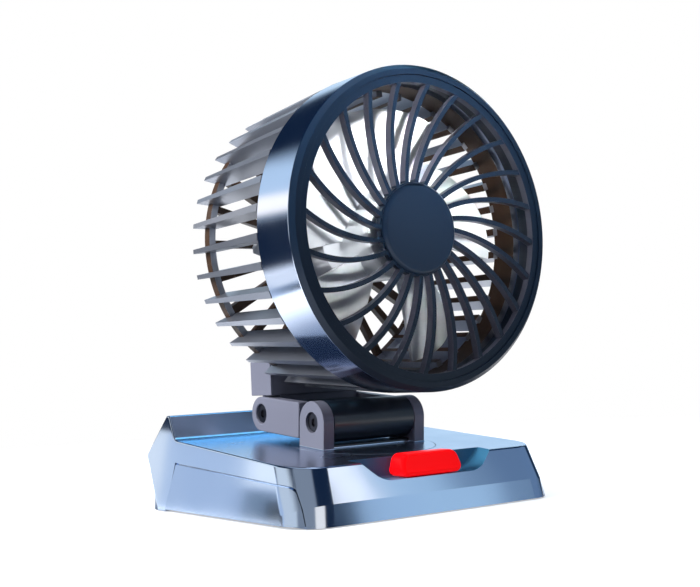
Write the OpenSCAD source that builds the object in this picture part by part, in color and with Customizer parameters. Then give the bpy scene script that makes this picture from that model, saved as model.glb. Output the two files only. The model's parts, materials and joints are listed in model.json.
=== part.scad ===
// Folding desk and dashboard fan: round drum head on a double hinge over a wedge base.
// Units are millimetres. +Z is up and the fan blows towards -Y.

/* [Base] */
// Width of the base shell at the front crease
base_w = 109; // [100:0.5:118]
// Depth of the base shell
base_d = 107; // [100:0.5:114]
// Plan radius of the shell corners
base_corner_r = 10; // [6:0.5:14]
// Height of the near-vertical band under the front crease
skirt_h = 7.1; // [5:0.1:9]
// How far the crease lies behind the front foot
skirt_lean = 1.1; // [0.5:0.1:2]
// Height of the deck at its front edge
deck_front_z = 18.2; // [16:0.1:21]
// How far the deck edge lies behind the front foot
deck_setback = 5.4; // [4:0.1:8]
// Slope of the deck, rising to the rear
deck_tilt = 5.1; // [3:0.1:7]
// Height of the rear lip
lip_top_z = 34; // [30:0.5:36]
// Distance from the lip foot to the rear face
lip_foot_in = 22; // [19:0.5:25]
// How far the side walls draw in per millimetre of height
side_lean = 0.17; // [0:0.01:0.25]
// Height where the rear wall is widest
rear_wide_z = 19.5; // [18:0.5:22]
// Wall of the shell
shell_t = 2.6; // [2:0.1:3]
// How far the lower side walls are set in under the upper band
side_inset = 3.9; // [3:0.1:5]
// Height of the underside of the upper band at its front end
band_front_z = 13; // [11:0.1:15]
// Slope of the underside of the upper band
band_tilt = 3.4; // [2:0.1:5]
// Gap between the shell and the floor
shell_lift = 0.4; // [0.2:0.1:0.8]

/* [Base cover] */
// Thickness of the rubber pad
pad_t = 1; // [0.8:0.1:2]
// Thickness of the bottom cover
cover_t = 2; // [1.6:0.1:2.6]
// Gap around the bottom cover
cover_gap = 0.2; // [0.1:0.05:0.4]
// Distance of the cover screws inside the widest side of the shell
screw_in_x = 16.5; // [15:0.5:20]
// Distance of the cover screws inside the front and rear of the shell
screw_in_y = 19.5; // [18:0.5:24]
// Shank radius of the cover screws
screw_r = 1.3; // [1:0.1:1.6]
// Head radius of the cover screws
screw_head_r = 2.6; // [2.2:0.1:3]
// Thickness of the side panels
panel_t = 1.6; // [1.2:0.1:2]
// Seam around the side panels
panel_seam = 0.2; // [0.1:0.05:0.3]

/* [Button] */
// Length of the push bar along its foot
bar_len = 27; // [25:0.5:32]
// Length of the push bar along its top
bar_top_len = 22.5; // [21:0.5:26]
// Height of the push bar
bar_h = 7.4; // [6:0.1:8.5]
// Depth of the push bar
bar_d = 7.4; // [6:0.1:8.5]
// Edge radius of the push bar
bar_edge_r = 1.6; // [1:0.1:2.4]
// Travel of the push bar
bar_travel = 1; // [0.6:0.1:1.4]
// Stem radius of the push bar
stem_r = 1.6; // [1.4:0.1:1.8]
// Side spacing of the guide pins from the middle
guide_x = 9.5; // [8:0.5:11]

/* [Turntable] */
// Distance of the turning axis behind the front of the base
turn_in = 40.8; // [38:0.1:44]
// Radius of the turntable
table_r = 25.5; // [24:0.1:28]
// How far the turntable stands above the deck
table_proud = 0.1; // [0:0.05:1]
// Depth of the seat cut into the deck
seat_depth = 2; // [1.5:0.1:2.5]
// Gap around the turntable
seat_gap = 0.3; // [0.2:0.05:0.5]
// Radius of the turning boss
boss_r = 8; // [7:0.1:9]
// Radius of the lead passage through the boss
lead_r = 4; // [3:0.1:5]

/* [Hinge] */
// Height of both hinge axes above the deck
pivot_h = 8.9; // [8.5:0.1:10]
// Distance between the two hinge axes
link_len = 32.4; // [30:0.1:36]
// Half width over the ears
ear_out = 22; // [20:0.1:24]
// Thickness of each ear
ear_t = 4.5; // [4:0.1:5.5]
// Radius of the ear tops
ear_r = 7.3; // [6.8:0.1:7.6]
// Radius of the front barrel
barrel_r = 7.3; // [6.5:0.1:7.8]
// Radius of the link cheek ends
cheek_r = 6.25; // [5.8:0.05:6.5]
// Radius of the hinge pins
pin_r = 2.5; // [2.2:0.1:2.8]
// Radius of the screw pockets in the ears
pocket_r = 3.5; // [3.2:0.1:3.9]
// Depth of the screw pockets in the ears
pocket_d = 2; // [1.5:0.1:2.4]
// Running clearance of every turning joint
run_gap = 0.05; // [0.02:0.01:0.1]
// Side clearance between hinge parts
side_gap = 0.2; // [0.15:0.05:0.4]

/* [Head] */
// Outer radius of the drum
head_r = 54; // [50:0.5:58]
// Height of the fan axis
head_z = 93; // [90:0.5:98]
// Length of the drum from front rim to fin tips
head_len = 66; // [60:0.5:70]
// Length of the front band
band_w = 19.7; // [16:0.1:24]
// Wall of the front band
band_t = 2.2; // [1.6:0.1:2.6]
// Number of cage fins
fin_count = 36; // [30:1:40]
// Thickness of a fin at the band
fin_t_front = 2.5; // [2:0.1:3]
// Thickness of a fin at its tip
fin_t_rear = 1.5; // [1.2:0.1:2]
// How far the fin tips draw in
fin_draw = 2.8; // [2:0.1:4]
// Radial depth of a fin
fin_depth = 6.6; // [5:0.1:8]
// Number of grille spokes
spoke_count = 24; // [20:1:28]
// Width of a spoke
spoke_w = 1.6; // [1.3:0.1:2.2]
// Depth of a spoke
spoke_d = 2.8; // [2.4:0.1:4]
// Radius of the grille hub
hub_r = 16; // [14:0.5:18]
// How far the hub lies behind the rim
hub_recess = 5; // [3:0.1:6]
// Width of the front rim
rim_w = 6; // [5:0.1:7]

/* [Impeller] */
// Number of blades
blade_count = 5; // [4:1:7]
// Tip radius of the blades
blade_r = 44; // [40:0.5:44.5]
// Radius of the impeller hub
cup_r = 15.5; // [14:0.1:17]
// Thickness of a blade
blade_t = 1.5; // [1.2:0.1:2]
// Pitch of the blades
blade_pitch = 27; // [22:1:36]
// Camber radius of the blades
camber_r = 48; // [40:1:60]
// Angle covered by one blade
blade_span = 58; // [50:1:62]
// Angle of the first blade
blade_phase = -18; // [-36:1:36]
// Radius of the motor
motor_r = 12.5; // [11:0.1:13]
// Radius of the motor shaft
shaft_r = 1.5; // [1:0.1:2]

/* [Hidden] */
$fn = 96;
eps = 0.01;
deck_k = tan(deck_tilt);
front_y = -base_d/2;
rear_y = base_d/2;
crease_y = front_y + skirt_lean;
deck_y = front_y + deck_setback;
lip_foot_y = rear_y - lip_foot_in;
lip_run = 6;
lip_w = 2.2;
lip_top_y = lip_foot_y + lip_run;
turn_y = front_y + turn_in;
turn_z = deck_front_z + deck_k*(turn_y - deck_y);
screw_x = base_w/2 - screw_in_x;
screw_y = base_d/2 - screw_in_y;
inner_w = base_w - 2*side_inset;
wall_w = inner_w - 2*shell_t;
rear_inset = 2.5;
wall_rear_y = rear_y - rear_inset - shell_t;
seam_top_y = front_y + 7.2;
seam_foot_y = front_y + 5;
cover_z = pad_t;
pad_hole_gap = 0.6;
post_z = cover_z + cover_t;
notch_top = 28;
notch_foot = 20.5;
notch_z = 12;
notch_back = front_y + 12;
notch_wall = 2.4;
bar_z = notch_z + 0.4;
bar_front = front_y + 2.4;
bar_back = bar_front + bar_d;
bar_lean = 1.6;
stem_z = bar_z + 1.9;
switch_top = stem_z + stem_r - 0.1;
switch_gap = 0.4;
stem_len = notch_back + notch_wall - bar_back + 2.2;
guide_r = 1.4;
socket_w = 8.9;
socket_h = 3.2;
socket_wall = 0.4;
socket_gap = 0.25;
socket_len = 9;
socket_depth = 6;
tail_w = 8;
tail_t = 1.4;
tail_len = 5.6;
board_w = 36;
board_t = 1.6;
board_z = post_z + 2;
board_front = front_y + 19;
board_back = rear_y - 8.5;
table_t = seat_depth + table_proud - 0.1;
seat_floor_t = 2.4;
boss_drop = 4.4;
ring_r = 11;
ring_t = 1.8;
ring_in = 6.5;
ring_drop = seat_depth + seat_floor_t + boss_drop - 2.4;
ear_in = ear_out - ear_t;
axle_cut = 40;
head_sink = 0.9;
hex_r = 1.5;
hex_d = 0.7;
nut_t = 1.4;
sill_front = 4.2;
sill_back = 1.6;
sill_gap = 0.4;
barrel_half = ear_in - side_gap;
cheek_in = ear_in - 0.1;
cheek_front = ear_r + 0.6;
web_h = 5;
web_back = link_len - cheek_r - 1.6;
neck_r = 6;
neck_half = cheek_in - side_gap;
pivot2_y = turn_y + link_len*cos(deck_tilt) - pivot_h*sin(deck_tilt);
pivot2_z = turn_z + link_len*sin(deck_tilt) + pivot_h*cos(deck_tilt);
head_y = front_y - 1;
tip_y = head_y + head_len;
post_front = tip_y + 0.6;
post_d = 13.4;
post_half = 21.5;
post_gap = 0.35;
post_top = 52;
arm_half = 9;
arm_d = 6.4;
mount_d0 = head_len - 9;
mount_d1 = head_len - 3.5;
mount_r = 17;
cap_r = mount_r - 0.6;
cap_rim = 1;
cap_t = 2.4;
nose_r = 4;
nose_d = 1.6;
bolt_ring_r = 9;
bolt_r = 1.3;
bolt_grip = 4;
head_reach = head_len + 24;
fin_d0 = band_w + 0.2;
sleeve_r = head_r - band_t;
sleeve_t = 2.4;
sleeve_d0 = band_w - 8;
sleeve_d1 = band_w + 1.8;
fin_phase = 0.75;
hoop_w = 3.2;
hoop_t = 2.4;
hoop1_d = head_len - 7;
fin_tip_r = head_r - fin_draw;
fin_root_r = head_r - fin_depth;
fin_tip_root = fin_tip_r - fin_depth + 1;
hoop_r = fin_tip_r - 2.6;
rim_in = head_r - rim_w;
rim_step = 2.6;
rim_bevel = 1.6;
rim_d = 3.2;
step_d = 0.6;
skirt_d = 9;
hub_t = 3.4;
hub_chamfer = 1;
spoke_arc = 55.5;
spoke_cx = 5.2;
spoke_cy = 54.45;
cup_d0 = 13;
cup_len = 26;
cup_wall = 1.6;
cup_round = 3;
motor_d0 = 29;
motor_d1 = mount_d0;
shaft_d0 = cup_d0 + 0.8;
shaft_in = 3;
shaft_d1 = motor_d1 - shaft_in;

// Height of the deck at a given depth
function deck_at(y) = deck_front_z + deck_k*(y - deck_y);
// Height of the underside of the upper band at a given depth
function band_at(y) = band_front_z + tan(band_tilt)*(y - seam_top_y);

// Frame of the deck: origin on the deck at the turning axis
module deck_frame() {
  translate([0, turn_y, turn_z])
    rotate([deck_tilt, 0, 0])
      children();
}

// Frame of the head: origin at the middle of the front rim, z runs backwards, y runs down
module head_frame() {
  translate([0, head_y, head_z])
    rotate([-90, 0, 0])
      children();
}

// Side outline carried across the width
module across(half) {
  rotate([90, 0, 90])
    translate([0, 0, -half])
      linear_extrude(2*half)
        children();
}

// Cylinder along X between two places
module xrod(x0, x1, r) {
  translate([x0, 0, 0])
    rotate([0, 90, 0])
      cylinder(r = r, h = x1 - x0);
}

// Rounded rectangle in plan
module plan(w, y0, y1, r) {
  union() {
    translate([-w/2 + r, y0])
      square([w - 2*r, y1 - y0]);
    translate([-w/2, y0 + r])
      square([w, y1 - y0 - 2*r]);
    for (sx = [-1, 1], yy = [y0 + r, y1 - r])
      translate([sx*(w/2 - r), yy])
        circle(r = r);
  }
}

// Ring of a given inner radius, outer radius and depth range in the head frame
module ring(r0, r1, d0, d1) {
  translate([0, 0, d0])
    difference() {
      cylinder(r = r1, h = d1 - d0);
      translate([0, 0, -eps])
        cylinder(r = r0, h = d1 - d0 + 2*eps);
    }
}

// Outer form of the base shell
module shell_form() {
  difference() {
    intersection() {
      across(base_w)
        polygon([[front_y, shell_lift], [crease_y, skirt_h], [deck_y, deck_front_z],
          [lip_foot_y, deck_at(lip_foot_y)], [lip_top_y, lip_top_z], [lip_top_y + lip_w, lip_top_z],
          [rear_y, rear_wide_z], [rear_y, shell_lift]]);
      linear_extrude(60)
        plan(base_w, front_y, rear_y, base_corner_r);
      translate([0, rear_y + 5, 0])
        rotate([90, 0, 0])
          linear_extrude(base_d + 10)
            polygon([[-base_w/2, 0], [base_w/2, 0], [base_w/2, skirt_h],
              [base_w/2 - side_lean*(60 - skirt_h), 60], [-base_w/2 + side_lean*(60 - skirt_h), 60],
              [-base_w/2, skirt_h]]);
    }
    difference() {
      across(base_w)
        polygon([[seam_foot_y, -1], [seam_top_y, band_at(seam_top_y)], [rear_y + 5, band_at(rear_y + 5)],
          [rear_y + 5, -1]]);
      translate([0, 0, -2])
        linear_extrude(60)
          plan(inner_w, front_y, rear_y - rear_inset, base_corner_r - 1);
    }
  }
}

// Hollow inside the base shell
module shell_hollow() {
  intersection() {
    across(base_w)
      polygon([[front_y + shell_t + 0.2, -1], [front_y + shell_t + 0.2, post_z + cover_gap],
        [crease_y + shell_t + 0.2, skirt_h],
        [deck_y + shell_t, deck_front_z - shell_t], [lip_foot_y + 1.2, deck_at(lip_foot_y) - shell_t],
        [lip_foot_y + 4.6, lip_top_z - 7], [lip_top_y + 4, lip_top_z - 7], [wall_rear_y, rear_wide_z - 1],
        [wall_rear_y, -1]]);
    translate([0, 0, -2])
      linear_extrude(60)
        plan(wall_w, front_y + shell_t, wall_rear_y, base_corner_r - shell_t);
  }
}

// Block that carries the push bar recess
module notch_block() {
  translate([-notch_top - 2, crease_y + 1.8, notch_z - notch_wall])
    cube([2*notch_top + 4, notch_back + notch_wall - crease_y - 1.8, deck_front_z - notch_z]);
}

// Recess for the push bar
module notch_cut() {
  translate([0, notch_back, 0])
    rotate([90, 0, 0])
      linear_extrude(30)
        polygon([[-notch_foot, notch_z], [notch_foot, notch_z], [notch_top, deck_front_z + 0.4],
          [notch_top, 30], [-notch_top, 30], [-notch_top, deck_front_z + 0.4]]);
}

// Slot of the power socket
module socket_outline(w, h) {
  union() {
    square([w - h, h], center = true);
    for (s = [-1, 1])
      translate([s*(w - h)/2, 0])
        circle(r = h/2);
  }
}

// Side panel outline in the side view
module panel_outline(g) {
  polygon([[seam_foot_y + 1.2 + g, post_z + 0.4 + g], [seam_top_y + 1.2 + g, band_at(seam_top_y + 1.2) - g],
    [rear_y - 23 - g, band_at(rear_y - 23) - g], [rear_y - 18 - g, post_z + 0.4 + g]]);
}

// Places of the four cover screws
module at_screws() {
  for (sx = [-1, 1], sy = [-1, 1])
    translate([sx*screw_x, sy*screw_y, 0])
      children();
}

// Chrome shell of the base with deck, rear lip, turntable seat and push bar recess
module base_shell() {
  color([0.70, 0.77, 0.88])
  difference() {
    union() {
      difference() {
        shell_form();
        shell_hollow();
      }
      intersection() {
        shell_form();
        union() {
          notch_block();
          deck_frame()
            translate([0, 0, -seat_depth - seat_floor_t])
              cylinder(r = table_r + 3, h = seat_floor_t + 1);
          for (sx = [-1, 1], sy = [-1, 1])
            translate([sx*screw_x, sy*screw_y, post_z])
              cylinder(r = screw_head_r + 1, h = deck_at(sy*screw_y) - post_z - 1);
        }
      }
      deck_frame()
        translate([0, 0, -seat_depth - seat_floor_t - boss_drop + 2.4])
          cylinder(r = boss_r + 4, h = boss_drop - 2.4 + 1);
    }
    deck_frame() {
      translate([0, 0, -seat_depth])
        cylinder(r = table_r + seat_gap, h = 20);
      translate([0, 0, -20])
        cylinder(r = boss_r + run_gap, h = 30);
    }
    notch_cut();
    for (x = [-guide_x, 0, guide_x])
      translate([x, notch_back - 2, stem_z])
        rotate([-90, 0, 0])
          cylinder(r = (x == 0 ? stem_r : guide_r) + run_gap, h = notch_wall + 7);
    translate([-5 - switch_gap, notch_back + notch_wall, -1])
      cube([10 + 2*switch_gap, 14, switch_top + switch_gap + 1]);
    at_screws()
      translate([0, 0, post_z - 1])
        cylinder(r = screw_r, h = 9);
    translate([0, rear_y - 10, board_z + board_t + 1.75])
      rotate([-90, 0, 0])
        linear_extrude(20)
          socket_outline(socket_w + 2*socket_gap, socket_h + 2*socket_gap);
    for (s = [-1, 1])
      translate([s*(inner_w/2 - panel_t/2), 0, 0])
        across(panel_t/2 + eps)
          panel_outline(0);
  }
}

// Side panel on one side
module side_panel(s) {
  translate([s*(inner_w/2 - panel_t/2), 0, 0])
    across(panel_t/2)
      panel_outline(panel_seam);
}

// Left side panel
module side_panel_left() {
  color([0.76, 0.83, 0.93])
    side_panel(-1);
}

// Right side panel
module side_panel_right() {
  color([0.76, 0.83, 0.93])
    side_panel(1);
}

// Cover that closes the underside, with the board pillars
module bottom_cover() {
  color([0.10, 0.11, 0.13])
  difference() {
    union() {
      translate([0, 0, cover_z])
        linear_extrude(cover_t)
          plan(wall_w - 2*cover_gap, front_y + shell_t + 0.2 + cover_gap, wall_rear_y - cover_gap,
            base_corner_r - shell_t - cover_gap);
      for (sx = [-1, 1], yy = [board_front + 4, board_back - 8])
        translate([sx*(board_w/2 - 4), yy, cover_z])
          cylinder(r = 2.6, h = board_z - cover_z);
    }
    at_screws() {
      translate([0, 0, -1])
        cylinder(r = screw_r + 0.2, h = 10);
      translate([0, 0, -1])
        cylinder(r = screw_head_r + 0.2, h = cover_z + 2.2);
    }
  }
}

// Rubber pad under the cover
module grip_pad() {
  color([0.07, 0.07, 0.08])
  difference() {
    linear_extrude(pad_t)
      plan(wall_w - 6, front_y + 6, wall_rear_y - 3, base_corner_r - 3);
    at_screws()
      translate([0, 0, -pad_t])
        cylinder(r = screw_head_r + pad_hole_gap, h = 3*pad_t);
  }
}

// Screws that hold the cover
module cover_screws() {
  color([0.55, 0.56, 0.58])
  at_screws()
    difference() {
      union() {
        translate([0, 0, cover_z + 0.1])
          cylinder(r = screw_head_r, h = 1.1);
        translate([0, 0, cover_z + 0.1])
          cylinder(r = screw_r, h = 8);
      }
      translate([0, 0, cover_z - 0.5])
        cylinder(r = 1.1, h = 1.3, $fn = 6);
    }
}

// Circuit board on the cover pillars
module circuit_board() {
  color([0.05, 0.28, 0.16])
  translate([-board_w/2, board_front, board_z])
    cube([board_w, board_back - board_front, board_t]);
}

// Push switch behind the bar
module push_switch() {
  color([0.12, 0.12, 0.13])
  union() {
    translate([-5, notch_back + notch_wall + 4.4, board_z + board_t])
      cube([10, 5, switch_top - board_z - board_t]);
    translate([0, notch_back + notch_wall + 2.2 + bar_travel + 0.1, stem_z])
      rotate([-90, 0, 0])
        cylinder(r = stem_r - 0.3, h = 3);
  }
}

// Power socket at the rear of the board
module power_socket() {
  color([0.62, 0.64, 0.67])
  translate([0, rear_y - rear_inset - 0.2, board_z + board_t + 1.75])
    rotate([90, 0, 0])
      difference() {
        union() {
          linear_extrude(socket_len)
            socket_outline(socket_w, socket_h);
          translate([-tail_w/2, -1.75, socket_len - tail_len])
            cube([tail_w, tail_t, tail_len]);
        }
        translate([0, 0, -1])
          linear_extrude(socket_depth + 1)
            socket_outline(socket_w - 2*socket_wall, socket_h - 2*socket_wall);
      }
}

// Red push bar with its stem and guide pins
module push_bar() {
  color([0.86, 0.03, 0.04])
  union() {
    intersection() {
      across(bar_len)
        union() {
          polygon([[bar_front + bar_edge_r, bar_z], [bar_back, bar_z], [bar_back, bar_z + bar_h],
            [bar_front + bar_lean + bar_edge_r, bar_z + bar_h]]);
          polygon([[bar_front, bar_z + bar_edge_r], [bar_back, bar_z + bar_edge_r],
            [bar_back, bar_z + bar_h - bar_edge_r], [bar_front + bar_lean, bar_z + bar_h - bar_edge_r]]);
          translate([bar_front + bar_edge_r, bar_z + bar_edge_r])
            circle(r = bar_edge_r);
          translate([bar_front + bar_lean + bar_edge_r, bar_z + bar_h - bar_edge_r])
            circle(r = bar_edge_r);
        }
      translate([0, bar_back, 0])
        rotate([90, 0, 0])
          linear_extrude(bar_d + 4)
            polygon([[-bar_len/2, bar_z], [bar_len/2, bar_z], [bar_top_len/2, bar_z + bar_h],
              [-bar_top_len/2, bar_z + bar_h]]);
    }
    for (x = [-guide_x, 0, guide_x])
      translate([x, bar_back - 0.5, stem_z])
        rotate([-90, 0, 0])
          cylinder(r = (x == 0 ? stem_r : guide_r), h = stem_len + 0.5);
  }
}

// Ear of the turntable, drawn in the side view
module ear_outline() {
  union() {
    translate([0, pivot_h])
      circle(r = ear_r);
    translate([-ear_r, 0])
      square([2*ear_r, pivot_h]);
  }
}

// Turning plate with its two ears and hollow boss
module turntable() {
  color([0.42, 0.45, 0.53])
  deck_frame()
  difference() {
    union() {
      translate([0, 0, table_proud - table_t])
        cylinder(r = table_r, h = table_t);
      translate([0, 0, -ring_drop])
        cylinder(r = boss_r, h = ring_drop);
      translate([0, 0, -ring_drop - ring_t - 0.4])
        cylinder(r = ring_in, h = ring_t + 1);
      for (s = [-1, 1])
        translate([s*(ear_in + ear_t/2), 0, 0])
          across(ear_t/2)
            ear_outline();
      translate([-ear_in - 0.5, -sill_front, 0])
        cube([2*ear_in + 1, sill_front + sill_back, pivot_h - barrel_r - sill_gap]);
    }
    translate([0, 0, -30])
      cylinder(r = lead_r, h = 30 + table_proud - 1.2);
    translate([0, 0, pivot_h])
      xrod(-axle_cut, axle_cut, pin_r);
    translate([0, 0, pivot_h]) {
      xrod(ear_out - pocket_d, axle_cut, pocket_r);
      xrod(-axle_cut, -ear_out + pocket_d, pocket_r);
    }
  }
}

// Ring that keeps the turntable in its seat
module turntable_ring() {
  color([0.60, 0.62, 0.65])
  deck_frame()
    translate([0, 0, -ring_drop - ring_t - 0.1])
      difference() {
        cylinder(r = ring_r, h = ring_t);
        translate([0, 0, -1])
          cylinder(r = ring_in, h = ring_t + 2);
      }
}

// Shoulder screw with its head in the left pocket
module hinge_screw() {
  difference() {
    union() {
      xrod(-ear_out + pocket_d, ear_out - 0.4, pin_r);
      xrod(-ear_out + head_sink, -ear_out + pocket_d, pocket_r - 0.3);
    }
    xrod(-ear_out, -ear_out + head_sink + hex_d, hex_r, $fn = 6);
  }
}

// Nut in the right pocket
module hinge_nut() {
  difference() {
    translate([ear_out - pocket_d, 0, 0])
      rotate([0, 90, 0])
        cylinder(r = pocket_r - 0.2, h = nut_t, $fn = 6);
    xrod(0, axle_cut, pin_r);
  }
}

// Front hinge pin
module front_pin() {
  color([0.30, 0.31, 0.34])
  deck_frame()
    translate([0, 0, pivot_h])
      hinge_screw();
}

// Nut of the front hinge pin
module front_nut() {
  color([0.30, 0.31, 0.34])
  deck_frame()
    translate([0, 0, pivot_h])
      hinge_nut();
}

// Barrel and web of the link between the two hinges
module link_body() {
  color([0.06, 0.07, 0.11])
  deck_frame()
    translate([0, 0, pivot_h])
      difference() {
        union() {
          xrod(-barrel_half, barrel_half, barrel_r);
          translate([-barrel_half, 0, -web_h])
            cube([2*barrel_half, cheek_front + 1, 2*web_h]);
          translate([-cheek_in, cheek_front, -web_h])
            cube([2*cheek_in, web_back - cheek_front, 2*web_h]);
        }
        xrod(-axle_cut, axle_cut, pin_r + run_gap);
      }
}

// Cheek of the link on one side
module cheek(s) {
  deck_frame()
    translate([0, 0, pivot_h])
      difference() {
        translate([s*(cheek_in + ear_out)/2, 0, 0])
          across((ear_out - cheek_in)/2)
            union() {
              translate([cheek_front, -cheek_r])
                square([link_len - cheek_front, 2*cheek_r]);
              translate([link_len, 0])
                circle(r = cheek_r);
            }
        translate([0, link_len, 0]) {
          xrod(-axle_cut, axle_cut, pin_r);
          xrod(ear_out - pocket_d, axle_cut, pocket_r);
          xrod(-axle_cut, -ear_out + pocket_d, pocket_r);
        }
      }
}

// Left cheek of the link
module cheek_left() {
  color([0.42, 0.45, 0.53])
    cheek(-1);
}

// Right cheek of the link
module cheek_right() {
  color([0.42, 0.45, 0.53])
    cheek(1);
}

// Rear hinge pin
module rear_pin() {
  color([0.30, 0.31, 0.34])
  deck_frame()
    translate([0, link_len, pivot_h])
      hinge_screw();
}

// Nut of the rear hinge pin
module rear_nut() {
  color([0.30, 0.31, 0.34])
  deck_frame()
    translate([0, link_len, pivot_h])
      hinge_nut();
}

// Neck from the rear hinge up to the motor mount
module neck() {
  color([0.42, 0.45, 0.53])
  difference() {
    union() {
      translate([0, pivot2_y, pivot2_z]) {
        xrod(-neck_half, neck_half, neck_r);
        translate([-neck_half, -neck_r, 0])
          cube([2*neck_half, 2*neck_r, cheek_r + post_gap + 1]);
      }
      translate([-post_half, post_front, pivot2_z + cheek_r + post_gap])
        cube([2*post_half, post_d, post_top - pivot2_z - cheek_r - post_gap]);
      translate([-arm_half, post_front, post_top - 1])
        cube([2*arm_half, arm_d, head_z - post_top + 1]);
      head_frame() {
        translate([0, 0, post_front - head_y])
          cylinder(r = mount_r, h = arm_d);
        translate([0, 0, mount_d1])
          cylinder(r = mount_r - 3, h = post_front - head_y - mount_d1 + 1);
      }
    }
    translate([0, pivot2_y, pivot2_z])
      xrod(-axle_cut, axle_cut, pin_r + run_gap);
    head_frame()
      for (a = [90, 210, 330])
        rotate([0, 0, a])
          translate([bolt_ring_r, 0, mount_d1 - 1])
            cylinder(r = bolt_r, h = 2*bolt_grip);
  }
}

// Spider that carries the motor inside the cage
module motor_mount() {
  color([0.50, 0.53, 0.62])
  head_frame()
  difference() {
    union() {
      translate([0, 0, mount_d0])
        cylinder(r = mount_r, h = mount_d1 - mount_d0);
      for (a = [0:60:300])
        rotate([0, 0, a + 30])
          translate([mount_r - 2, -1.6, hoop1_d])
            cube([hoop_r - hoop_t - mount_r + 2, 3.2, mount_d1 - hoop1_d]);
    }
    for (a = [90, 210, 330])
      rotate([0, 0, a])
        translate([bolt_ring_r, 0, 0])
          cylinder(r = bolt_r, h = head_reach);
    translate([0, 0, mount_d0 - 1])
      cylinder(r = nose_r, h = nose_d + 1);
  }
}

// Screws between the motor mount and the neck
module motor_screws() {
  color([0.55, 0.56, 0.58])
  head_frame()
    for (a = [90, 210, 330])
      rotate([0, 0, a])
        translate([bolt_ring_r, 0, mount_d0 + 0.4])
          cylinder(r = bolt_r, h = mount_d1 - mount_d0 + bolt_grip);
}

// One fin of the cage along +X of the head frame
module fin() {
  intersection() {
    rotate([90, 0, 0])
      translate([0, 0, -5])
        linear_extrude(10)
          polygon([[fin_root_r, fin_d0], [head_r, fin_d0], [fin_tip_r, head_len],
            [fin_tip_root, head_len - 5.5]]);
    rotate([90, 0, 90])
      linear_extrude(80)
        polygon([[-fin_t_front/2, fin_d0 - 1], [fin_t_front/2, fin_d0 - 1], [fin_t_rear/2, head_len + 1],
          [-fin_t_rear/2, head_len + 1]]);
  }
}

// Cage of long fins on a rear hoop, with the sleeve that fits the band
module fin_cage() {
  color([0.62, 0.63, 0.70])
  head_frame()
  union() {
    for (i = [0:fin_count - 1])
      rotate([0, 0, (i + fin_phase)*360/fin_count])
        fin();
    ring(sleeve_r - sleeve_t, sleeve_r, sleeve_d0, sleeve_d1);
    ring(hoop_r - hoop_t, hoop_r, hoop1_d, hoop1_d + hoop_w);
  }
}

// Bright band around the front of the drum
module front_band() {
  color([0.45, 0.55, 0.72])
  head_frame()
    ring(head_r - band_t, head_r, rim_bevel, band_w);
}

// Outline of one curved spoke
module spoke_outline() {
  intersection() {
    difference() {
      translate([spoke_cx, spoke_cy])
        circle(r = spoke_arc + spoke_w/2, $fn = 180);
      translate([spoke_cx, spoke_cy])
        circle(r = spoke_arc - spoke_w/2, $fn = 180);
    }
    translate([hub_r - 3, -6])
      square([rim_in + 4 - hub_r + 3, 40]);
  }
}

// Dished slice that all spokes lie in
module spoke_dish() {
  rotate_extrude()
    polygon([[hub_r - 0.6, hub_recess], [rim_in + 0.6, step_d + 0.2], [rim_in + 0.6, step_d + 0.2 + spoke_d],
      [hub_r - 0.6, hub_recess + spoke_d]]);
}

// Front grille: rim, curved spokes and hub seat
module front_grille() {
  color([0.11, 0.20, 0.32])
  head_frame()
  union() {
    rotate_extrude()
      polygon([[rim_in, step_d], [rim_in + rim_step, step_d], [rim_in + rim_step, 0], [head_r - rim_bevel, 0],
        [head_r, rim_bevel], [sleeve_r, rim_bevel], [sleeve_r, skirt_d], [sleeve_r - 2, skirt_d],
        [sleeve_r - 2, step_d + 2.6], [rim_in, step_d + 2.6]]);
    intersection() {
      linear_extrude(20)
        for (i = [0:spoke_count - 1])
          rotate([0, 0, i*360/spoke_count])
            spoke_outline();
      spoke_dish();
    }
    translate([0, 0, hub_recess + 0.6])
      cylinder(r = hub_r - 0.2, h = spoke_d - 0.8);
  }
}

// Round cap over the grille hub
module hub_cap() {
  color([0.11, 0.20, 0.32])
  head_frame()
    rotate_extrude()
      polygon([[0, hub_recess - 1.2], [hub_r - hub_chamfer - 0.6, hub_recess - 1.2],
        [hub_r - 0.6, hub_recess - 1.2 + hub_chamfer], [hub_r - 0.6, hub_recess + 0.6], [0, hub_recess + 0.6]]);
}

// Cap behind the neck, over the motor screws
module rear_cap() {
  color([0.11, 0.20, 0.32])
  head_frame()
    translate([0, 0, post_front - head_y + arm_d])
      rotate_extrude()
        polygon([[0, 0], [cap_r, 0], [cap_r, cap_rim], [cap_r - cap_t + cap_rim, cap_t], [0, cap_t]]);
}

// Motor body
module motor() {
  color([0.20, 0.21, 0.23])
  head_frame()
  difference() {
    union() {
      translate([0, 0, motor_d0])
        cylinder(r = motor_r, h = motor_d1 - motor_d0);
      translate([0, 0, motor_d0 - 2])
        cylinder(r = 4, h = 3);
    }
    translate([0, 0, motor_d0 - 5])
      cylinder(r = shaft_r + run_gap, h = shaft_d1 - motor_d0 + 5.6);
  }
}

// One cambered blade along +X of the head frame
module blade() {
  intersection() {
    translate([0, 0, cup_d0])
      linear_extrude(cup_len)
        intersection() {
          circle(r = blade_r);
          polygon([[cup_r - 2, -cup_r*0.42], [cup_r - 2, cup_r*0.42],
            [70*cos(blade_span/2), 70*sin(blade_span/2)], [70*cos(blade_span/2), -70*sin(blade_span/2)]]);
        }
    translate([0, 0, cup_d0 + cup_len/2 + 0.6])
      rotate([-blade_pitch, 0, 0])
        translate([0, 0, camber_r - 2])
          rotate([0, 90, 0])
            difference() {
              cylinder(r = camber_r + blade_t/2, h = 60, $fn = 180);
              translate([0, 0, -1])
                cylinder(r = camber_r - blade_t/2, h = 62, $fn = 180);
            }
  }
}

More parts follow.
